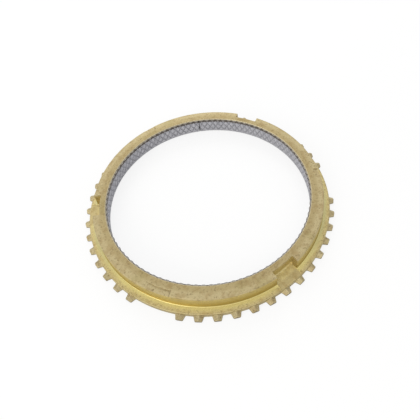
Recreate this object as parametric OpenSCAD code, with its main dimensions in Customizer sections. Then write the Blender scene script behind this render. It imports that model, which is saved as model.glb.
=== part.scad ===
// Synchronizer ring: a forged brass blocker ring with a woven friction lining bonded into its conical bore.
// It lies on its gear side, so the hub side with the key notches faces up along +Z.
// The origin is on the ring's axis, in the plane of the gear-side face. All lengths are in millimetres.

/* [Ring] */
// Height of the ring, from the gear-side face to the hub-side face
ring_h = 9.3; // [8.5:0.1:13]
// Diameter of the brass bore in the plane of the hub-side face
bore_d = 96.6; // [85:0.1:110]
// Half angle of the conical bore, which widens towards the gear side
cone_angle = 6.5; // [5:0.5:8]
// Chamfer at both ends of the bore
bore_chamfer = 0.35; // [0.1:0.05:0.4]
// Radial width of the hub-side face, from the bore to the hub's outer wall
hub_wall = 5.8; // [5:0.1:8]
// Draft of the hub's outer wall, in degrees
hub_draft = 4; // [1:0.5:6]
// Rounding of the hub's outer top edge
hub_edge_r = 0.6; // [0.2:0.1:1]
// Fillet between the hub's outer wall and the flange
hub_fillet_r = 0.5; // [0.2:0.1:0.9]

/* [Flange] */
// Thickness of the flange where it meets the hub's outer wall
flange_h = 2.8; // [2.5:0.1:4]
// Radial width of the flange, from the hub's top edge out to the roots of the teeth
flange_w = 3.65; // [3:0.05:6]
// Fall of the flange's top face towards its rim, in degrees
flange_fall = 2.5; // [1:0.5:4]
// Rounding of the flange's top edge
rim_r = 0.35; // [0.1:0.05:0.5]

/* [Teeth] */
// Number of tooth places round the ring, before teeth are left out
tooth_places = 48; // [36:6:60]
// Radial height of a tooth, from root to tip
tooth_h = 2.25; // [1.5:0.05:3]
// Width of a tooth at its root
tooth_root_w = 4.4; // [3.6:0.1:4.8]
// Width of a tooth at its tip
tooth_tip_w = 3; // [2.2:0.1:3.4]
// Drop of a tooth's ridge at the tip, below the flange's top at the hub
ridge_drop = 1; // [0.8:0.05:1.2]
// Rise of the ridge from the tip towards the root, in degrees
ridge_rise = 8; // [0:1:10]
// Slope of the two pointing faces on either side of the ridge, in degrees
roof_slope = 35; // [20:1:40]

/* [Key notches] */
// Width of each notch, which takes a strut key
notch_w = 11.4; // [8:0.1:14]
// Radial depth of each notch, from the hub's top edge
notch_depth = 3.1; // [2:0.1:3.6]
// Depth of the notch floor below the flange's top at the hub
notch_sink = 0.3; // [0.2:0.05:0.8]

/* [Seats over the gaps] */
// Depth of the shallow seat in the hub-side face over each gap in the teeth
seat_depth = 0.5; // [0.2:0.1:1]
// Radial reach of each seat, from the hub's top edge inwards
seat_reach = 2.3; // [1:0.1:3]
// Width of the two narrow seats, along the hub's edge
seat_w = 5.5; // [3:0.1:10]
// Width of the one wide seat, along the hub's edge
wide_seat_w = 12.4; // [10:0.1:20]

/* [Friction lining] */
// Thickness of the lining, square to the cone
lining_t = 0.6; // [0.5:0.05:1]
// Distance of the lining's top edge below the hub-side face
lining_top_gap = 0.5; // [0.4:0.1:1.5]
// Distance of the lining's bottom edge above the gear-side face
lining_bottom_gap = 0.45; // [0.4:0.05:1.5]
// Film of adhesive between the lining and the brass
bond_film = 0.05; // [0.03:0.01:0.1]
// Opening of the butt seam where the strip's two ends meet
seam_gap = 0.4; // [0.2:0.1:1]
// Place of the butt seam round the ring, in degrees from +X
seam_place = 90; // [0:5:355]
// Number of grooves in each of the two directions of the weave
weave_grooves = 100; // [60:4:112]
// Width of a weave groove at the lining's face
groove_w = 0.5; // [0.3:0.1:0.7]
// Depth of a weave groove
groove_depth = 0.25; // [0.15:0.05:0.35]
// Lean of the weave grooves from the ring's axis, in degrees
groove_lean = 31; // [20:1:40]

/* [Hidden] */
$fn = 180;

// Three key notches alternate with three gaps of two missing teeth
thirds = 3;
third_angle = 360 / thirds;
gap_teeth = 2;
// Extra length by which a cutting or joining shape runs past the surface it meets
past = 1;
// Height by which a weave groove's cutter stands out of the lining's face
groove_past = 0.2;

function unit(v) = v / norm(v);

// Radius of the brass bore at a height above the gear-side face
function bore_r(z) = bore_d / 2 + (ring_h - z) * tan(cone_angle);

hub_r = bore_d / 2 + hub_wall;
hub_foot_r = hub_r + (ring_h - flange_h) * tan(hub_draft);
root_r = hub_r + flange_w;
rim_h = flange_h - (root_r - hub_foot_r) * tan(flange_fall);
tip_r = root_r + tooth_h;
tooth_pitch = 360 / tooth_places;
ridge_h = flange_h - ridge_drop;
notch_floor_h = flange_h - notch_sink;
notch_back_r = hub_r - notch_depth;
seat_r = hub_r - seat_reach;

// Corners of the ring's section, as radius and height, counter-clockwise from the foot of the bore
section_points = [
    [bore_r(0) + bore_chamfer, 0],
    [root_r, 0],
    [root_r, rim_h],
    [hub_foot_r, flange_h],
    [hub_r, ring_h],
    [bore_r(ring_h) + bore_chamfer, ring_h],
    [bore_r(ring_h - bore_chamfer), ring_h - bore_chamfer],
    [bore_r(bore_chamfer), bore_chamfer]
];
rim_corner = 2;
foot_corner = 3;
top_corner = 4;

// Sliver between a corner of the section and the arc that is tangent to both of its sides
module corner_sliver(corner, r) {
    p = section_points[corner];
    to_last = unit(section_points[corner - 1] - p);
    to_next = unit(section_points[corner + 1] - p);
    half = acos(to_last * to_next) / 2;
    centre = p + unit(to_last + to_next) * r / sin(half);
    difference() {
        polygon([p, p + to_last * r / tan(half), centre, p + to_next * r / tan(half)]);
        translate(centre) circle(r);
    }
}

module ring_section() {
    difference() {
        polygon(section_points);
        corner_sliver(top_corner, hub_edge_r);
        corner_sliver(rim_corner, rim_r);
    }
    corner_sliver(foot_corner, hub_fillet_r);
}

// One blocker tooth along +X: tapered in plan, with a roof of two pointing faces that meet in a ridge
module tooth() {
    taper = (tooth_root_w - tooth_tip_w) / tooth_h / 2;
    foot_r = root_r - past;
    half_foot = tooth_root_w / 2 + past * taper;
    half_end = tooth_tip_w / 2 - past * taper;
    roof_half = tooth_root_w;
    roof_drop = roof_half * tan(roof_slope);
    intersection() {
        linear_extrude(height = flange_h)
            polygon([[foot_r, -half_foot], [tip_r + past, -half_end],
                     [tip_r + past, half_end], [foot_r, half_foot]]);
        translate([tip_r, 0, ridge_h])
            rotate([0, ridge_rise, 0])
                translate([-2 * tooth_h - past, 0, 0])
                    rotate([90, 0, 90])
                        linear_extrude(height = 3 * tooth_h + 2 * past)
                            polygon([[0, 0], [-roof_half, -roof_drop], [-roof_half, -ring_h],
                                     [roof_half, -ring_h], [roof_half, -roof_drop]]);
    }
}

// Every tooth but the two on either side of each gap's middle, with the tips turned to one diameter
module teeth() {
    places_in_third = tooth_places / thirds;
    intersection() {
        for (third = [0 : thirds - 1], place = [gap_teeth / 2 : places_in_third - gap_teeth / 2 - 1])
            rotate(third * third_angle + (place + 0.5) * tooth_pitch) tooth();
        cylinder(r = tip_r, h = ring_h);
    }
}

// Cutter for one key notch, centred on +X, with parallel sides and a round back wall
module notch_cutter() {
    difference() {
        translate([0, -notch_w / 2, notch_floor_h])
            cube([tip_r + past, notch_w, ring_h]);
        cylinder(r = notch_back_r, h = 2 * ring_h);
    }
}

// Cutter for one shallow seat in the hub's top edge, centred on +X
module seat_cutter(width) {
    seat_angle = 2 * asin(width / 2 / hub_r);
    rotate(-seat_angle / 2)
        rotate_extrude(angle = seat_angle)
            translate([seat_r, ring_h - seat_depth])
                square([seat_reach + past, seat_depth + past]);
}

module ring_body() {
    color([0.75, 0.66, 0.43])
        difference() {
            union() {
                rotate_extrude() ring_section();
                teeth();
            }
            for (third = [0 : thirds - 1]) {
                rotate((third + 0.5) * third_angle) notch_cutter();
                rotate(third * third_angle) seat_cutter(third == thirds - 1 ? wide_seat_w : seat_w);
            }
        }
}

// Radius of the lining's outer and inner faces at a height above the gear-side face
function lining_outer_r(z) = bore_r(z) - bond_film / cos(cone_angle);
function lining_inner_r(z) = lining_outer_r(z) - lining_t / cos(cone_angle);

lining_low = lining_bottom_gap;
lining_high = ring_h - lining_top_gap;
lining_mid = (lining_low + lining_high) / 2;

// Plain strip of the lining, rolled into a cone and left open at its butt seam
module lining_strip() {
    seam_angle = 2 * asin(seam_gap / 2 / lining_inner_r(lining_mid));
    rotate(seam_place + seam_angle / 2)
        rotate_extrude(angle = 360 - seam_angle)
            polygon([[lining_inner_r(lining_low), lining_low], [lining_outer_r(lining_low), lining_low],
                     [lining_outer_r(lining_high), lining_high], [lining_inner_r(lining_high), lining_high]]);
}

// Cutter for one straight groove between two tows, leaning to one side of the axis
module groove_cutter(lean) {
    length = 2 * (lining_high - lining_low);
    half_past = groove_w / 2 * (groove_depth + groove_past) / groove_depth;
    translate([lining_inner_r(lining_mid), 0, lining_mid])
        rotate([0, -cone_angle, 0])
            rotate([lean, 0, 0])
                linear_extrude(height = length, center = true)
                    polygon([[-groove_past, -half_past], [groove_depth, 0], [-groove_past, half_past]]);
}

module friction_lining() {
    color([0.56, 0.56, 0.6])
        difference() {
            lining_strip();
            for (groove = [0 : weave_grooves - 1], lean = [-groove_lean, groove_lean])
                rotate(seam_place + (groove + 0.5) * 360 / weave_grooves) groove_cutter(lean);
        }
}

ring_body();
friction_lining();
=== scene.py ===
import math
import bpy
import numpy as np
from mathutils import Matrix, Vector


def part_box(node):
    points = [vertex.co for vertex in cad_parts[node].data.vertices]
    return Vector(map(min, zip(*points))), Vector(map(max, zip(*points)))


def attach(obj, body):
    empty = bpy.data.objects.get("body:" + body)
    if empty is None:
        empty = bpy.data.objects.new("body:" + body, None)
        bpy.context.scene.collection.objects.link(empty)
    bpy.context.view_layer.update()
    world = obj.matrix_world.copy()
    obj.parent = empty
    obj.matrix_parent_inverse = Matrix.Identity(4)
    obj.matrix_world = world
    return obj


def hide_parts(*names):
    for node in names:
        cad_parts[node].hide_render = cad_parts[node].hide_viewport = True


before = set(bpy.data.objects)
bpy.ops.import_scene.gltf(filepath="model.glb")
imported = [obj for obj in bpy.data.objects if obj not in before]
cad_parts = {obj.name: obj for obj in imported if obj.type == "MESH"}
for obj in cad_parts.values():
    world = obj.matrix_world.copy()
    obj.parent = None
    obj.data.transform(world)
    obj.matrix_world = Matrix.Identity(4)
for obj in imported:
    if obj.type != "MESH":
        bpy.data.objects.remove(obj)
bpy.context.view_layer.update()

# Brass ring: one forging with a flat-topped hub, a flange below it and pointed teeth round the flange's rim.
# The hub's outer wall, the flange beside it and the mouth of the bore are turned; the rest is as forged.
# One tooth pitch of its section is spun, a tooth is drawn out of its rim, and the pitch is copied round.
mm = 0.001
ring_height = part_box("ring_body")[1].z
bore_radius = 48.3 * mm
cone_angle = math.radians(6.5)
bore_chamfer = 0.35 * mm
hub_radius = 54.1 * mm
hub_draft = math.radians(4)
hub_edge_round = 0.6 * mm
hub_foot_fillet = 0.5 * mm
flange_height = 2.8 * mm
flange_fall = math.radians(2.5)
rim_radius = 57.75 * mm
rim_round = 0.35 * mm
hub_foot_radius = hub_radius + (ring_height - flange_height) * math.tan(hub_draft)
rim_height = flange_height - (rim_radius - hub_foot_radius) * math.tan(flange_fall)

tooth_places = 48
tooth_height = 2.25 * mm
tooth_root_width = 4.4 * mm
tooth_tip_width = 3 * mm
ridge_drop = 1 * mm
ridge_rise = math.radians(8)
roof_slope = math.radians(35)
tooth_pitch = 2 * math.pi / tooth_places
tooth_angle = 2 * math.asin(tooth_root_width / 2 / rim_radius)
tooth_taper = tooth_tip_width / tooth_root_width
ridge_at_tip = flange_height - ridge_drop
ridge_at_root = ridge_at_tip + tooth_height * math.tan(ridge_rise)
flank_at_root = ridge_at_root - tooth_root_width / 2 * math.tan(roof_slope)


def bore_at(height):
    """Radius of the conical bore at a height above the gear-side face."""
    return bore_radius + (ring_height - height) * math.tan(cone_angle)


corner_steps = 4


def rounded_corner(before, corner, after, radius):
    """Points of the arc of that radius that touches both sides of a corner."""
    before, corner, after = Vector(before), Vector(corner), Vector(after)
    to_before = (before - corner).normalized()
    to_after = (after - corner).normalized()
    half = to_before.angle(to_after) / 2
    centre = corner + (to_before + to_after).normalized() * radius / math.sin(half)
    start = corner + to_before * radius / math.tan(half) - centre
    end = corner + to_after * radius / math.tan(half) - centre
    turn = start.angle_signed(end)
    turns = [-turn * step / corner_steps for step in range(corner_steps + 1)]
    return [centre + Matrix.Rotation(angle, 2) @ start for angle in turns]


foot_inner = (bore_at(0) + bore_chamfer, 0)
rim_bottom = (rim_radius, 0)
rim_top = (rim_radius, rim_height)
hub_foot = (hub_foot_radius, flange_height)
hub_top = (hub_radius, ring_height)
mouth_outer = (bore_radius + bore_chamfer, ring_height)
mouth_inner = (bore_at(ring_height - bore_chamfer), ring_height - bore_chamfer)
bore_foot = (bore_at(bore_chamfer), bore_chamfer)
section = [foot_inner, rim_bottom, (rim_radius, flank_at_root)]
section += rounded_corner(rim_bottom, rim_top, hub_foot, rim_round)
section += rounded_corner(rim_top, hub_foot, hub_top, hub_foot_fillet)
section += rounded_corner(hub_foot, hub_top, mouth_outer, hub_edge_round)
section += [mouth_outer, mouth_inner, bore_foot]

point_gap = 0.001 * mm
weld_gap = 0.002 * mm


def trace(name, outline, angle):
    """New object with a closed outline, drawn by extruding one point through a half plane at that angle."""
    bpy.ops.object.select_all(action="DESELECT")
    corners = [Vector((r * math.cos(angle), r * math.sin(angle), z)) for r, z in outline]
    bpy.ops.mesh.primitive_plane_add(size=mm, location=corners[0])
    piece = bpy.context.object
    piece.name = name
    bpy.ops.object.transform_apply(location=True)
    bpy.ops.object.mode_set(mode="EDIT")
    bpy.ops.mesh.select_mode(type="VERT")
    bpy.ops.mesh.merge(type="CENTER")
    for last, corner in zip(corners, corners[1:] + corners[:1]):
        bpy.ops.mesh.extrude_vertices_move(TRANSFORM_OT_translate={"value": corner - last})
    bpy.ops.mesh.select_all(action="SELECT")
    bpy.ops.mesh.remove_doubles(threshold=point_gap)
    return piece


def spin(angle, steps):
    """Sweeps the selected outline counter-clockwise about the axis; the operator itself turns clockwise."""
    bpy.ops.mesh.spin(steps=steps, angle=-angle, center=(0, 0, 0), axis=(0, 0, 1))


def pick(piece, kind, wanted):
    """Selects the vertices or faces of a piece that pass a test, and leaves it in edit mode."""
    bpy.ops.object.mode_set(mode="EDIT")
    bpy.ops.mesh.select_mode(type=kind)
    bpy.ops.mesh.select_all(action="DESELECT")
    bpy.ops.object.mode_set(mode="OBJECT")
    for item in piece.data.vertices if kind == "VERT" else piece.data.polygons:
        item.select = wanted(item)
    bpy.ops.object.mode_set(mode="EDIT")


def near(a, b, gap=0.01 * mm):
    return abs(a - b) < gap


def axis_distance(point):
    return math.hypot(point.x, point.y)


def make_whole(piece):
    """Merges the seams of a piece and turns all its faces outwards."""
    bpy.ops.object.mode_set(mode="EDIT")
    bpy.ops.mesh.select_all(action="SELECT")
    bpy.ops.mesh.remove_doubles(threshold=weld_gap)
    bpy.ops.mesh.normals_make_consistent(inside=False)
    bpy.ops.object.mode_set(mode="OBJECT")


tooth_steps = 4
space_steps = 2
rim_face_gap = 0.1 * mm
plain_pitch = trace("plain_pitch", section, -tooth_angle / 2)
spin(tooth_angle, tooth_steps)
spin(tooth_pitch - tooth_angle, space_steps)
bpy.ops.object.mode_set(mode="OBJECT")
toothed_pitch = plain_pitch.copy()
toothed_pitch.data = plain_pitch.data.copy()
bpy.context.collection.objects.link(toothed_pitch)
bpy.ops.object.select_all(action="DESELECT")
toothed_pitch.select_set(True)
bpy.context.view_layer.objects.active = toothed_pitch


def root_point(step):
    """Sideways place of a point on a tooth's root line, and the height of the roof there."""
    root_y = rim_radius * math.sin((step / tooth_steps - 0.5) * tooth_angle)
    return root_y, ridge_at_root - abs(root_y) * math.tan(roof_slope)


for step in range(1, tooth_steps):
    root_y, root_z = root_point(step)
    pick(toothed_pitch, "VERT", lambda vertex: near(axis_distance(vertex.co), rim_radius)
         and near(vertex.co.y, root_y) and near(vertex.co.z, flank_at_root))
    bpy.ops.transform.translate(value=(0, 0, root_z - flank_at_root))
pick(toothed_pitch, "FACE", lambda face: near(axis_distance(face.center), rim_radius, rim_face_gap)
     and face.center.z < ridge_at_root / 2 and abs(face.center.y) < tooth_root_width / 2)
bpy.ops.mesh.extrude_region_move(TRANSFORM_OT_translate={"value": (tooth_height, 0, 0)})
bpy.ops.transform.resize(value=(1, tooth_taper, 1), center_override=(rim_radius, 0, 0))
for step in range(tooth_steps + 1):
    root_y, root_z = root_point(step)
    tip_y = root_y * tooth_taper
    tip_z = ridge_at_tip - abs(tip_y) * math.tan(roof_slope)
    pick(toothed_pitch, "VERT", lambda vertex: vertex.co.x > rim_radius + tooth_height / 2
         and near(vertex.co.y, tip_y) and near(vertex.co.z, root_z))
    bpy.ops.transform.translate(value=(0, 0, tip_z - root_z))
bpy.ops.object.mode_set(mode="OBJECT")

# The two tooth places beside the middle of each gap stay plain
thirds = 3
places_in_third = tooth_places // thirds
bpy.ops.object.select_all(action="DESELECT")
for place in range(tooth_places):
    in_gap = place % places_in_third in (0, places_in_third - 1)
    source = plain_pitch if in_gap else toothed_pitch
    pitch = source.copy()
    pitch.data = source.data.copy()
    pitch.rotation_euler.z = (place + 0.5) * tooth_pitch
    bpy.context.collection.objects.link(pitch)
    pitch.select_set(True)
bpy.context.view_layer.objects.active = pitch
bpy.ops.object.join()
brass_ring = bpy.context.object
brass_ring.name = "brass_ring"
bpy.ops.object.transform_apply(rotation=True)
make_whole(brass_ring)
bpy.data.objects.remove(plain_pitch)
bpy.data.objects.remove(toothed_pitch)

# Sharp edges are rounded, those of the teeth more than the rest
edge_round = 0.12 * mm
tooth_edge_round = 0.28 * mm
sharp_angle = math.radians(32)
tooth_edges_from = rim_radius + 0.3 * mm
bottom_edges_to = 0.1 * mm
bpy.ops.object.mode_set(mode="EDIT")
bpy.ops.mesh.select_mode(type="EDGE")
bpy.ops.mesh.select_all(action="DESELECT")
bpy.ops.mesh.edges_select_sharp(sharpness=sharp_angle)
bpy.ops.transform.edge_bevelweight(value=edge_round / tooth_edge_round)
bpy.ops.object.mode_set(mode="OBJECT")
for edge in brass_ring.data.edges:
    ends = [brass_ring.data.vertices[end].co for end in edge.vertices]
    middle = (ends[0] + ends[1]) / 2
    on_tooth_edge = axis_distance(middle) > tooth_edges_from and middle.z > bottom_edges_to
    edge.select = edge.select and on_tooth_edge
bpy.ops.object.mode_set(mode="EDIT")
bpy.ops.transform.edge_bevelweight(value=1)
bpy.ops.object.mode_set(mode="OBJECT")
rounding = brass_ring.modifiers.new("rounding", "BEVEL")
rounding.limit_method = "WEIGHT"
rounding.width = tooth_edge_round
rounding.segments = 3
rounding.use_clamp_overlap = False
bpy.ops.object.modifier_apply(modifier=rounding.name)

notch_width = 11.4 * mm
notch_depth = 3.1 * mm
notch_sink = 0.3 * mm
notch_fillet = 0.4 * mm
notch_steps = 10
seat_depth = 0.5 * mm
seat_reach = 2.3 * mm
seat_width = 5.5 * mm
seat_steps = 4
wide_seat_width = 12.4 * mm
wide_seat_steps = 8
wide_seat_place = math.radians(240)
seat_run_out = math.radians(5)
clear_radius = 62 * mm
clear_height = 12 * mm
notch_back_radius = hub_radius - notch_depth
notch_floor = flange_height - notch_sink
notch_half_angle = math.asin(notch_width / 2 / notch_back_radius)
seat_floor = ring_height - seat_depth
seat_clear = ring_height + seat_depth
seat_back_radius = hub_radius - seat_reach
seat_angle = 2 * math.asin(seat_width / 2 / hub_radius)
wide_seat_angle = 2 * math.asin(wide_seat_width / 2 / hub_radius)


def arc_cutter(name, back_radius, floor, top, angle, steps):
    """Solid arc between two heights and outside a radius, centred on +X."""
    outline = [(back_radius, floor), (clear_radius, floor), (clear_radius, top), (back_radius, top)]
    cutter = trace(name, outline, -angle / 2)
    spin(angle, steps)
    bpy.ops.mesh.select_all(action="SELECT")
    bpy.ops.mesh.fill_holes(sides=0)
    make_whole(cutter)
    return cutter


def cut(piece, cutter, angle):
    """Turns a cutter about the axis to that angle and takes it out of a piece."""
    cutter.rotation_euler.z = angle
    bpy.ops.object.select_all(action="DESELECT")
    bpy.context.view_layer.objects.active = piece
    piece.select_set(True)
    boolean = piece.modifiers.new("cut", "BOOLEAN")
    boolean.operation = "DIFFERENCE"
    boolean.solver = "EXACT"
    boolean.object = cutter
    bpy.ops.object.modifier_apply(modifier=boolean.name)


notch_cutter = arc_cutter("notch_cutter", notch_back_radius, notch_floor, clear_height,
                          2 * notch_half_angle, notch_steps)
for side in (-1, 1):
    outer_y = side * clear_radius * math.sin(notch_half_angle)
    pick(notch_cutter, "VERT", lambda vertex: near(vertex.co.y, outer_y))
    bpy.ops.transform.translate(value=(0, side * notch_width / 2 - outer_y, 0))
bpy.ops.object.mode_set(mode="OBJECT")


def at_notch_corner(vertex):
    at_back = near(axis_distance(vertex.co), notch_back_radius)
    at_end = near(abs(vertex.co.y), notch_width / 2)
    at_floor = near(vertex.co.z, notch_floor)
    return at_back and at_end or at_floor and (at_back or at_end)


pick(notch_cutter, "VERT", at_notch_corner)
bpy.ops.mesh.bevel(offset=notch_fillet, segments=4, affect="EDGES", clamp_overlap=False)
bpy.ops.object.mode_set(mode="OBJECT")
make_whole(notch_cutter)

# One end of the wide seat runs out as a ramp, so the cutter's upper edge there is turned out past its lower
seat_cutter = arc_cutter("seat_cutter", seat_back_radius, seat_floor, seat_clear, seat_angle, seat_steps)
wide_seat_cutter = arc_cutter("wide_seat_cutter", seat_back_radius, seat_floor, seat_clear,
                              wide_seat_angle - seat_run_out, wide_seat_steps)
ramp_foot = (seat_run_out - wide_seat_angle) / 2
angle_gap = 1e-4
pick(wide_seat_cutter, "VERT", lambda vertex: near(vertex.co.z, seat_clear)
     and near(math.atan2(vertex.co.y, vertex.co.x), ramp_foot, angle_gap))
bpy.ops.transform.rotate(value=2 * seat_run_out, orient_axis="Z", center_override=(0, 0, 0))
bpy.ops.object.mode_set(mode="OBJECT")
for third in range(thirds):
    third_angle = third * 2 * math.pi / thirds
    cut(brass_ring, notch_cutter, third_angle + math.pi / thirds)
    if near(third_angle, wide_seat_place, angle_gap):
        cut(brass_ring, wide_seat_cutter, wide_seat_place + seat_run_out / 2)
    else:
        cut(brass_ring, seat_cutter, third_angle)
for cutter in (notch_cutter, seat_cutter, wide_seat_cutter):
    bpy.data.objects.remove(cutter)
make_whole(brass_ring)

ring_smooth_angle = math.radians(40)
bpy.ops.object.shade_smooth_by_angle(angle=ring_smooth_angle)
shading = brass_ring.modifiers.new("shading", "WEIGHTED_NORMAL")
shading.keep_sharp = True
bpy.ops.object.modifier_apply(modifier=shading.name)


def srgb(red, green, blue):
    """Linear colour of an sRGB colour from 0 to 255."""
    def linear(value):
        value /= 255
        return value / 12.92 if value <= 0.04045 else ((value + 0.055) / 1.055) ** 2.4
    return (linear(red), linear(green), linear(blue), 1)


def set_input(tree, socket, value):
    """Links an output socket to an input, or sets a plain value on it."""
    if isinstance(value, bpy.types.NodeSocket):
        tree.links.new(value, socket)
    else:
        socket.default_value = value


def add(tree, kind, inputs=None, **settings):
    """New node with its settings and inputs."""
    node = tree.nodes.new(kind)
    for name, value in settings.items():
        setattr(node, name, value)
    for name, value in (inputs or {}).items():
        set_input(tree, node.inputs[name], value)
    return node


def math_node(tree, operation, a, b=0.0):
    return add(tree, "ShaderNodeMath", {0: a, 1: b}, operation=operation).outputs[0]


def vector_node(tree, operation, a, b=(0, 0, 0)):
    return add(tree, "ShaderNodeVectorMath", {0: a, 1: b}, operation=operation)


def parts_of(tree, vector):
    """The x, y and z sockets of a vector."""
    return add(tree, "ShaderNodeSeparateXYZ", {0: vector}).outputs


def turned_axes(tree, vector, angle):
    """The x, y and z sockets of a vector in axes that are turned by that angle about the ring's axis."""
    inputs = {"Vector": vector, "Angle": -angle}
    return parts_of(tree, add(tree, "ShaderNodeVectorRotate", inputs, rotation_type="Z_AXIS").outputs[0])


def shifted(tree, base, value, share):
    """Base plus a share of another value."""
    inputs = {0: value, 1: share, 2: base}
    return add(tree, "ShaderNodeMath", inputs, operation="MULTIPLY_ADD").outputs[0]


def ramp_up(tree, value, low, high):
    """0 below low, 1 above high, smooth between them; low may be above high to turn it round."""
    inputs = {"Value": value, "From Min": low, "From Max": high}
    return add(tree, "ShaderNodeMapRange", inputs, interpolation_type="SMOOTHSTEP").outputs["Result"]


def overlap(tree, first, *others):
    """Mask that is 1 only where every given mask is 1."""
    for mask in others:
        first = math_node(tree, "MULTIPLY", first, mask)
    return first


def mix_value(tree, factor, a, b):
    return add(tree, "ShaderNodeMix", {0: factor, 2: a, 3: b}).outputs[0]


def mix_colour(tree, factor, a, b, blend="MIX"):
    node = add(tree, "ShaderNodeMix", data_type="RGBA", blend_type=blend)
    for index, value in ((0, factor), (6, a), (7, b)):
        set_input(tree, node.inputs[index], value)
    return node.outputs[2]


def tinted(tree, colour, tint):
    return mix_colour(tree, 1.0, colour, tint, "MULTIPLY")


def noise(tree, vector, scale, detail=2.0, roughness=0.5):
    inputs = {"Vector": vector, "Scale": scale, "Detail": detail, "Roughness": roughness}
    return add(tree, "ShaderNodeTexNoise", inputs).outputs["Fac"]


brass = bpy.data.materials.new("forged_and_turned_brass")
brass.use_nodes = True
tree = brass.node_tree
shader = tree.nodes["Principled BSDF"]
spot = add(tree, "ShaderNodeTexCoord").outputs["Object"]
x, y, height = parts_of(tree, spot)
flat = add(tree, "ShaderNodeCombineXYZ", {0: x, 1: y}).outputs[0]
radius = vector_node(tree, "LENGTH", flat).outputs["Value"]
normal = add(tree, "ShaderNodeNewGeometry").outputs["Normal"]
facing = parts_of(tree, normal)[2]
broad = noise(tree, spot, scale=110, detail=3)
mottle = noise(tree, spot, scale=380, detail=4, roughness=0.6)
speck = noise(tree, spot, scale=1100, detail=3, roughness=0.6)
pit = noise(tree, spot, scale=700)
grain = noise(tree, spot, scale=4200, detail=3, roughness=0.6)

# Forged skin: darker beside the bore than at the hub's edge, bright on the flange
inner_tan = srgb(189, 172, 127)
outer_tan = srgb(203, 188, 145)
flange_tan = srgb(231, 216, 157)
rim_tan = srgb(214, 199, 149)
tooth_tan = srgb(206, 193, 154)
zone_waver = 1.6 * mm
outer_zone_span = (51 * mm, 53 * mm)
zone_edge = shifted(tree, radius, broad, zone_waver)
outer_zone = ramp_up(tree, zone_edge, *outer_zone_span)
forged = mix_colour(tree, outer_zone, inner_tan, outer_tan)
on_flange = ramp_up(tree, radius, hub_foot_radius, hub_foot_radius + 0.5 * mm)
at_rim = ramp_up(tree, radius, rim_radius - 1 * mm, rim_radius - 0.2 * mm)
flange_colour = mix_colour(tree, at_rim, flange_tan, rim_tan)
forged = mix_colour(tree, on_flange, forged, flange_colour)
on_tooth = ramp_up(tree, radius, rim_radius, rim_radius + 0.3 * mm)
forged = mix_colour(tree, on_tooth, forged, tooth_tan)

# Key notches: yellow walls, darker at the two ends, and a floor painted pale as painted light against the
# walls' shade, brightening towards the back wall, with a painted highlight along the foot of the back wall
notch_back_yellow = srgb(210, 191, 122)
notch_end_yellow = srgb(188, 169, 108)
notch_foot_highlight = srgb(246, 234, 182)
notch_floor_painted_light = srgb(240, 226, 168)
notch_floor_tan = srgb(214, 198, 146)
facing_span = (0.5, 0.8)
under_top = ramp_up(tree, height, ring_height - 0.7 * mm, ring_height - 1.1 * mm)
in_hub = ramp_up(tree, radius, hub_foot_radius + 0.2 * mm, hub_foot_radius)
across = parts_of(tree, vector_node(tree, "CROSS_PRODUCT", flat, normal).outputs[0])[2]
sideways = math_node(tree, "ABSOLUTE", math_node(tree, "DIVIDE", across, radius))
at_notch_end = ramp_up(tree, sideways, *facing_span)
notch_wall = mix_colour(tree, at_notch_end, notch_back_yellow, notch_end_yellow)
forged = mix_colour(tree, overlap(tree, under_top, in_hub), forged, notch_wall)
# Painted highlight along the foot of the notch's back wall
near_back = ramp_up(tree, radius, notch_back_radius + 1.1 * mm, notch_back_radius + 0.7 * mm)
above_floor = ramp_up(tree, height, notch_floor - 0.1 * mm, notch_floor)
low_down = ramp_up(tree, height, notch_floor + 1.7 * mm, notch_floor + 0.9 * mm)
forged = mix_colour(tree, overlap(tree, near_back, above_floor, low_down), forged, notch_foot_highlight)
# Painted light: the notch floor is paler near the back wall, where the walls shade it
sunk = ramp_up(tree, height, notch_floor + 0.12 * mm, notch_floor + 0.04 * mm)
within_rim = ramp_up(tree, radius, rim_radius - 0.1 * mm, rim_radius - 0.4 * mm)
level = ramp_up(tree, facing, *facing_span)
on_notch_floor = overlap(tree, sunk, within_rim, level)
off_notch_floor = math_node(tree, "SUBTRACT", 1.0, on_notch_floor)
notch_outer = ramp_up(tree, radius, hub_radius - 0.5 * mm, hub_radius + 1 * mm)
notch_colour = mix_colour(tree, notch_outer, notch_floor_painted_light, notch_floor_tan)
forged = mix_colour(tree, on_notch_floor, forged, notch_colour)

# Stains, specks and pits of the forged skin
mottle_tint = srgb(238, 231, 222)
olive_tint = srgb(242, 242, 232)
speck_brown = srgb(150, 132, 92)
pit_brown = srgb(124, 108, 74)
mottle_span = (0.46, 0.66)
olive_span = (0.52, 0.7)
speck_span = (0.52, 0.74)
pit_span = (0.74, 0.81)
mottled = ramp_up(tree, mottle, *mottle_span)
forged = mix_colour(tree, mottled, forged, tinted(tree, forged, mottle_tint))
olive = ramp_up(tree, broad, *olive_span)
forged = mix_colour(tree, olive, forged, tinted(tree, forged, olive_tint))
speckled = overlap(tree, ramp_up(tree, speck, *speck_span), off_notch_floor)
forged = mix_colour(tree, speckled, forged, speck_brown)
pitted = overlap(tree, ramp_up(tree, pit, *pit_span), off_notch_floor)
forged = mix_colour(tree, pitted, forged, pit_brown)
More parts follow.
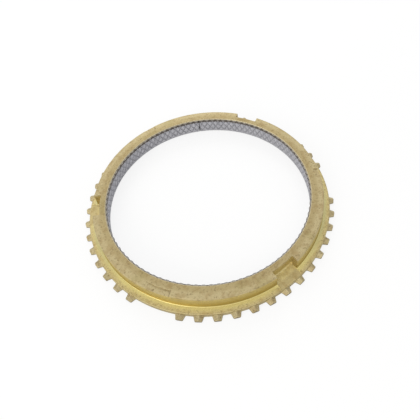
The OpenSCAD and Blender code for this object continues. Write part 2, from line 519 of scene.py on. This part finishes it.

# Turned wall and turned band of the flange, with tool marks. The wall's foot is darkened with painted shade,
# and the band is painted brighter at the front as a painted highlight and duller away from it
wall_dark = srgb(196, 177, 110)
wall_light = srgb(218, 200, 134)
wall_foot_shade = srgb(230, 225, 212)
band_dark = srgb(249, 229, 150)
band_light = srgb(255, 249, 183)
away_from_highlight_tint = srgb(225, 229, 243)
band_highlight_side = math.radians(-97)
band_highlight_span = (20 * mm, 45 * mm)
band_span = (57.5 * mm, 56.1 * mm)
rings = add(tree, "ShaderNodeCombineXYZ", {0: radius, 1: height}).outputs[0]
tool_marks = noise(tree, rings, scale=4200, detail=3, roughness=0.6)
wall_colour = mix_colour(tree, tool_marks, wall_dark, wall_light)
# Painted shade at the foot of the turned wall
by_foot = ramp_up(tree, height, flange_height + 3.2 * mm, flange_height + 0.6 * mm)
wall_colour = mix_colour(tree, by_foot, wall_colour, tinted(tree, wall_colour, wall_foot_shade))
band_colour = mix_colour(tree, tool_marks, band_dark, band_light)
# Painted highlight: the band keeps its bright colour towards the front and is dulled away from it
band_highlight = ramp_up(tree, turned_axes(tree, flat, band_highlight_side)[0], *band_highlight_span)
band_colour = mix_colour(tree, band_highlight, tinted(tree, band_colour, away_from_highlight_tint), band_colour)
above_flange = ramp_up(tree, height, flange_height, flange_height + 0.2 * mm)
turned_colour = mix_colour(tree, above_flange, band_colour, wall_colour)
on_hub_side = ramp_up(tree, radius, hub_radius - 0.3 * mm, hub_radius - 0.05 * mm)
in_band = ramp_up(tree, zone_edge, *band_span)
below_top = ramp_up(tree, height, ring_height - 0.4 * mm, ring_height - 4 * mm)
turned = overlap(tree, on_hub_side, in_band, below_top, off_notch_floor)
colour = mix_colour(tree, turned, forged, turned_colour)

# Pale edge at the mouth of the bore, a painted highlight on its turned chamfer, and painted shade on the
# bore wall under the mouth, which the lining covers lower down
mouth_highlight = srgb(224, 212, 178)
bore_shade_brown = srgb(66, 58, 50)
mouth_edge = bore_radius + bore_chamfer
# Painted highlight along the chamfer at the mouth
at_mouth = ramp_up(tree, radius, mouth_edge, mouth_edge - 0.12 * mm)
colour = mix_colour(tree, at_mouth, colour, mouth_highlight)
# Painted shade on the bore wall between the mouth and the lining
in_bore = ramp_up(tree, radius, bore_at(0) + 0.15 * mm, bore_at(0) + 0.05 * mm)
under_mouth = ramp_up(tree, height, ring_height - 0.45 * mm, ring_height - 0.6 * mm)
colour = mix_colour(tree, overlap(tree, in_bore, under_mouth), colour, bore_shade_brown)

# Painted shade: a dark line in the corner at the steep end of the wide seat
corner_shade_brown = srgb(128, 112, 78)
corner_shade_share = 0.6
seat_end = wide_seat_place + wide_seat_angle / 2
outwards, beside = turned_axes(tree, flat, seat_end)[:2]
by_seat_end = ramp_up(tree, math_node(tree, "ABSOLUTE", beside), 0.4 * mm, 0.1 * mm)
over_seat = ramp_up(tree, outwards, seat_back_radius - 0.3 * mm, seat_back_radius)
on_seat = ramp_up(tree, height, seat_floor - 0.3 * mm, seat_floor - 0.1 * mm)
seat_corner_shade = overlap(tree, by_seat_end, over_seat, on_seat)
colour = mix_colour(tree, math_node(tree, "MULTIPLY", seat_corner_shade, corner_shade_share), colour, corner_shade_brown)

# Painted shade: the steep flanks of the teeth are painted brown, as if they mirrored a dark room below, and
# the rim between them more faintly
flank_shade_brown = srgb(120, 106, 76)
flank_shade_share = 0.85
rim_shade_share = 0.45
steep_span = (0.6, 0.2)
on_rim = ramp_up(tree, radius, rim_radius - 0.3 * mm, rim_radius)
on_edge = math_node(tree, "MAXIMUM", on_tooth, math_node(tree, "MULTIPLY", on_rim, rim_shade_share))
steep = overlap(tree, on_edge, ramp_up(tree, facing, *steep_span))
colour = mix_colour(tree, math_node(tree, "MULTIPLY", steep, flank_shade_share), colour, flank_shade_brown)

# Fine grain all over; the turned metal is smoother and brighter than the scale of the forged skin
grain_tint = srgb(225, 222, 215)
grain_span = (0.3, 0.75)
forged_roughness = 0.6
turned_roughness = 0.46
forged_metal = 0.55
turned_metal = 0.9
speck_sink = -0.8
relief_depth = 0.06 * mm
grained = ramp_up(tree, grain, *grain_span)
colour = mix_colour(tree, grained, tinted(tree, colour, grain_tint), colour)
tree.links.new(colour, shader.inputs["Base Color"])
rough = mix_value(tree, turned, forged_roughness, turned_roughness)
tree.links.new(rough, shader.inputs["Roughness"])
metallic = mix_value(tree, turned, forged_metal, turned_metal)
tree.links.new(metallic, shader.inputs["Metallic"])
scale_relief = shifted(tree, grain, speck, speck_sink)
relief = mix_value(tree, turned, scale_relief, tool_marks)
bump = add(tree, "ShaderNodeBump", {"Height": relief, "Strength": 0.4, "Distance": relief_depth})
tree.links.new(bump.outputs[0], shader.inputs["Normal"])
brass_ring.data.materials.clear()
brass_ring.data.materials.append(brass)

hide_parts("ring_body")
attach(brass_ring, "root")

# Friction lining: a strip of woven carbon fabric, glued into the conical bore with its two ends butted.
# Its tows cross at a slant and run over and under each other; the cut upper edge and the top of the inner
# face are dark.
# The strip's section is swept round the axis, and its inner face is then drawn into the relief of the weave.
lining_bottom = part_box("friction_lining")[0].z
lining_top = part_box("friction_lining")[1].z
lining_mid = (lining_bottom + lining_top) / 2
bond_film = 0.05 * mm
lining_thickness = 0.6 * mm
seam_place = math.radians(90)
seam_gap = 0.4 * mm
edge_chamfer = 0.2 * mm
tow_count = 100
weave_depth = 0.6 * mm
weave_proud = 0.12 * mm
flattened_height = 1.2 * mm
flattened_weave = 0.75
lining_rows = 26
steps_per_tow = 16
face_top = lining_top - edge_chamfer
face_gap = 0.05 * mm
relief_gap = 0.1 * mm


def lining_back(height):
    """Radius of the lining's glued side at a height above the gear-side face."""
    return bore_at(height) - bond_film / math.cos(cone_angle)


def lining_face(height):
    """Radius of the lining's inner face at a height above the gear-side face."""
    return lining_back(height) - lining_thickness / math.cos(cone_angle)


row_height = (face_top - lining_bottom) / lining_rows
heights = [lining_bottom + row_height * row for row in range(lining_rows + 1)]
strip = [(lining_face(z), z) for z in heights]
strip += [(lining_face(lining_top) + edge_chamfer, lining_top)]
strip += [(lining_back(lining_top), lining_top), (lining_back(lining_bottom), lining_bottom)]
seam_angle = seam_gap / lining_face(lining_mid)
woven_lining = trace("woven_lining", strip, seam_place + seam_angle / 2)
bpy.ops.object.mode_set(mode="OBJECT")
sweep = woven_lining.modifiers.new("sweep", "SCREW")
sweep.angle = 2 * math.pi - seam_angle
sweep.steps = tow_count * steps_per_tow
sweep.render_steps = sweep.steps
sweep.use_merge_vertices = False
bpy.ops.object.modifier_apply(modifier=sweep.name)
bpy.ops.object.mode_set(mode="EDIT")
bpy.ops.mesh.select_all(action="SELECT")
bpy.ops.mesh.fill_holes(sides=0)
make_whole(woven_lining)


def on_lining_face(face):
    at_face = near(axis_distance(face.center), lining_face(face.center.z), face_gap)
    return at_face and lining_bottom + face_gap < face.center.z < face_top


pick(woven_lining, "FACE", on_lining_face)
bpy.ops.mesh.poke()
bpy.ops.object.mode_set(mode="OBJECT")

# Weave: two sets of tows slant across the face, and at each crossing one of them lies on top in turn
points = np.empty(len(woven_lining.data.vertices) * 3, np.float32)
woven_lining.data.vertices.foreach_get("co", points)
points = points.reshape(-1, 3).astype(float)
point_angles = np.arctan2(points[:, 1], points[:, 0])
point_radii = np.hypot(points[:, 0], points[:, 1])
point_heights = points[:, 2]
slant = 1 / (steps_per_tow * row_height)
around = tow_count * (point_angles - seam_place) / (2 * math.pi)
along = slant * (point_heights - face_top)
first = around + along
second = around - along
first_on_top = (np.floor(first) + np.floor(second)) % 2 < 1
first_off = first - np.floor(first) - 0.5
second_off = second - np.floor(second) - 0.5
across_tow = np.where(first_on_top, first_off, second_off)
along_tow = np.where(first_on_top, second_off, first_off)
crown = (1 - (2 * across_tow) ** 2) * (1 - (2 * along_tow) ** 2)
weave = np.sqrt(crown.clip(0, 1))
above_flattened = ((point_heights - lining_bottom) / flattened_height).clip(0, 1)
weave = flattened_weave + (weave - flattened_weave) * above_flattened
face_radii = lining_face(point_heights)
on_face = point_radii < face_radii + relief_gap
woven_radii = face_radii - weave_proud + weave_depth * (1 - weave)
stretch = np.where(on_face, woven_radii, point_radii) / point_radii
points[:, 0] *= stretch
points[:, 1] *= stretch
woven_lining.data.vertices.foreach_set("co", points.astype(np.float32).ravel())
tow_height = woven_lining.data.attributes.new("tow_height", "FLOAT", "POINT")
tow_height.data.foreach_set("value", weave.astype(np.float32))
fibre_place = woven_lining.data.attributes.new("fibre_place", "FLOAT_VECTOR", "POINT")
fibre_way = np.where(first_on_top, second, first)
tow_number = np.floor(np.where(first_on_top, first, second))
fibre_coords = np.stack([across_tow, fibre_way, tow_number], 1)
fibre_place.data.foreach_set("vector", fibre_coords.astype(np.float32).ravel())
woven_lining.data.update()
lining_smooth_angle = math.radians(60)
bpy.ops.object.shade_smooth_by_angle(angle=lining_smooth_angle)

valley_shade_grey = srgb(146, 146, 151)
crown_grey = srgb(184, 184, 189)
fibre_tint = srgb(205, 205, 210)
top_band_brown = srgb(82, 73, 64)
end_dark = srgb(98, 91, 83)
end_light = srgb(150, 145, 137)
fibre_scale = (14, 1.6, 7.3)
fibre_span = (0.35, 0.7)
fibre_depth = 0.06 * mm
end_span = (0.3, 0.7)
upward_span = (0.75, 0.95)
crown_drop = -0.9 * mm
blotch_waver = 0.7 * mm
fabric = bpy.data.materials.new("woven_carbon")
fabric.use_nodes = True
tree = fabric.node_tree
shader = tree.nodes["Principled BSDF"]
spot = add(tree, "ShaderNodeTexCoord").outputs["Object"]
height = parts_of(tree, spot)[2]
upward = parts_of(tree, add(tree, "ShaderNodeNewGeometry").outputs["Normal"])[2]
tow = add(tree, "ShaderNodeAttribute", attribute_name="tow_height").outputs["Fac"]
fibre_at = add(tree, "ShaderNodeAttribute", attribute_name="fibre_place").outputs["Vector"]
fibre_at = vector_node(tree, "MULTIPLY", fibre_at, fibre_scale).outputs[0]
fibres = noise(tree, fibre_at, scale=1, detail=3, roughness=0.6)
blotch = noise(tree, spot, scale=500)
# Painted shade: the valleys between the tows are painted darker than their crowns
colour = mix_colour(tree, tow, valley_shade_grey, crown_grey)
between_fibres = ramp_up(tree, fibres, *fibre_span)
colour = mix_colour(tree, between_fibres, colour, tinted(tree, colour, fibre_tint))
# A dark band along the top of the inner face, reaching further down between the crowns of the tows
ragged = shifted(tree, shifted(tree, height, tow, crown_drop), blotch, blotch_waver)
dark_top_band = ramp_up(tree, ragged, lining_top - 1.5 * mm, lining_top - 1.2 * mm)
colour = mix_colour(tree, dark_top_band, colour, top_band_brown)
cut_ends = mix_colour(tree, ramp_up(tree, tow, *end_span), end_dark, end_light)
colour = mix_colour(tree, ramp_up(tree, upward, *upward_span), colour, cut_ends)
tree.links.new(colour, shader.inputs["Base Color"])
shader.inputs["Roughness"].default_value = 0.62
bump = add(tree, "ShaderNodeBump", {"Height": fibres, "Strength": 0.5, "Distance": fibre_depth})
tree.links.new(bump.outputs[0], shader.inputs["Normal"])
woven_lining.data.materials.clear()
woven_lining.data.materials.append(fabric)

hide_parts("friction_lining")
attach(woven_lining, "root")

# Floor: a plain sheet of white paper under the ring, which isn't part of the object.
# Where it is seen or mirrored, most of its brightness is its own, so it looks white and keeps a soft shadow.
floor_side = 4
floor_drop = 0.02 * mm
paper_white = (0.92, 0.92, 0.92, 1)
glow_white = (1, 1, 1, 1)
glow_share = 0.8
bpy.ops.object.select_all(action="DESELECT")
bpy.ops.mesh.primitive_plane_add(size=floor_side, location=(0, 0, -floor_drop))
floor = bpy.context.object
floor.name = "floor"
paper = bpy.data.materials.new("white_paper")
paper.use_nodes = True
tree = paper.node_tree
shader = tree.nodes["Principled BSDF"]
shader.inputs["Base Color"].default_value = paper_white
shader.inputs["Roughness"].default_value = 0.9
shader.inputs["Specular IOR Level"].default_value = 0
path = add(tree, "ShaderNodeLightPath")
seen = math_node(tree, "MAXIMUM", path.outputs["Is Camera Ray"], path.outputs["Is Glossy Ray"])
seen = math_node(tree, "MAXIMUM", seen, path.outputs["Is Transmission Ray"])
glow = add(tree, "ShaderNodeEmission", {"Color": glow_white, "Strength": 1.0})
glowing = math_node(tree, "MULTIPLY", seen, glow_share)
white = add(tree, "ShaderNodeMixShader", {0: glowing, 1: shader.outputs[0], 2: glow.outputs[0]})
tree.links.new(white.outputs[0], tree.nodes["Material Output"].inputs["Surface"])
floor.data.materials.append(paper)

# Light: an even, pale room with two large soft lamps that face the ring.
# A slightly warm one stands low at the front left, and a slightly cool one behind the ring.
room_white = (1, 1, 1, 1)
room_strength = 0.85
lamp_side = 0.5
world = bpy.data.worlds.new("studio")
bpy.context.scene.world = world
world.use_nodes = True
tree = world.node_tree
tree.nodes["Background"].inputs["Color"].default_value = room_white
tree.nodes["Background"].inputs["Strength"].default_value = room_strength


def soft_lamp(name, location, watts, tint):
    """Square lamp that faces the ring."""
    lamp = bpy.data.lights.new(name, "AREA")
    lamp.energy = watts
    lamp.color = tint
    lamp.size = lamp_side
    holder = bpy.data.objects.new(name, lamp)
    bpy.context.scene.collection.objects.link(holder)
    holder.location = location
    holder.rotation_euler = (-Vector(location)).to_track_quat("-Z", "Y").to_euler()


soft_lamp("front_lamp", location=(-0.52, -0.58, 0.35), watts=2.4, tint=(1, 0.96, 0.87))
soft_lamp("back_lamp", location=(-0.04, 0.8, 0.5), watts=2.5, tint=(0.97, 0.99, 1))

# Camera: close to the ring and above its front, a little turned about the ring's axis and rolled.
# Its distance, lens and framing are the photograph's.
elevation = math.radians(53.85)
roll = math.radians(-3.01)
ring_turn = math.radians(6.894)
distance = 174.43 * mm
aim_offset = Vector((-14.364, 3.599)) * mm
film_width = 36
image_side = 420
focal_pixels = 368.1
axis_pixel = Vector((238.8, 196.2))
camera_data = bpy.data.cameras.new("camera")
camera = bpy.data.objects.new("camera", camera_data)
bpy.context.scene.collection.objects.link(camera)
bpy.context.scene.camera = camera
right = Vector((1, 0, 0))
up = Vector((0, math.sin(elevation), math.cos(elevation)))
forward = Vector((0, math.cos(elevation), -math.sin(elevation)))
rolled_right = right * math.cos(roll) + up * math.sin(roll)
rolled_up = up * math.cos(roll) - right * math.sin(roll)
eye = -forward * distance - rolled_right * aim_offset.x - rolled_up * aim_offset.y
turn = Matrix.Rotation(-ring_turn, 3, "Z")
axes = Matrix((turn @ rolled_right, turn @ rolled_up, turn @ -forward)).transposed()
camera.matrix_world = Matrix.Translation(turn @ eye + Vector((0, 0, ring_height))) @ axes.to_4x4()
camera_data.sensor_width = film_width
camera_data.lens = film_width * focal_pixels / image_side
camera_data.shift_x = (image_side / 2 - axis_pixel.x) / image_side
camera_data.shift_y = (axis_pixel.y - image_side / 2) / image_side
camera_data.clip_start = 1 * mm
bpy.context.scene.view_settings.view_transform = "Standard"
